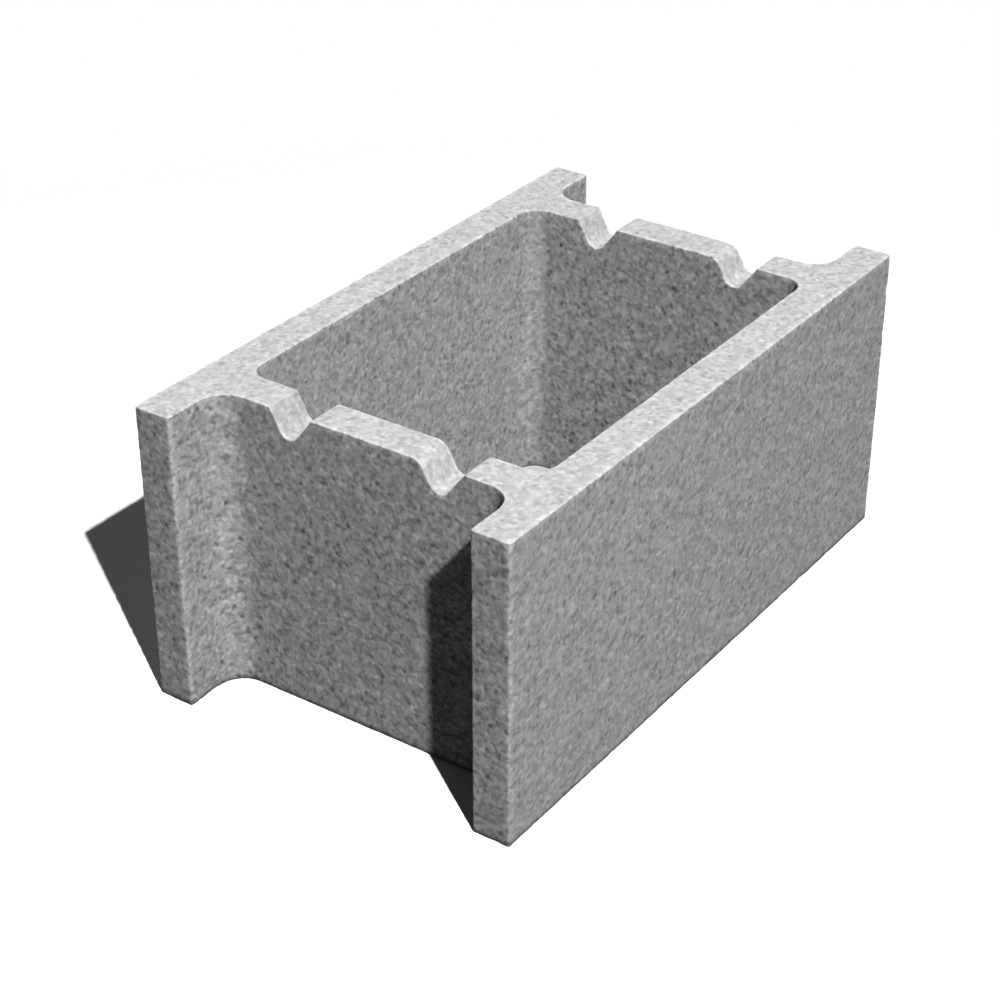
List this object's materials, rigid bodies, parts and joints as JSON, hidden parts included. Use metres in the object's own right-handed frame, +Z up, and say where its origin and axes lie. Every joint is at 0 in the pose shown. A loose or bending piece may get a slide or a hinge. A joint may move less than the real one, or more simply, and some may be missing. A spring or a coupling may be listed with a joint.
{
  "type": "concrete shuttering block",
  "caption": "Hollow concrete formwork block: long walls joined by cross webs set back from the ends, with a core to fill, end pockets and notches for reinforcing bars.",
  "frame": {"origin": "centre of the underside, on the level floor that the block stands on", "axes": "+X along the long walls, +Y across them, +Z up; the rounded notch shoulder is on the -Y side"},
  "size_m": [0.5, 0.3, 0.23],
  "materials": {
    "concrete": "bare pressed concrete, light grey with fine dark and light grains, matt"
  },
  "bodies": {
    "root": {"block": "concrete"}
  },
  "joints": []
}
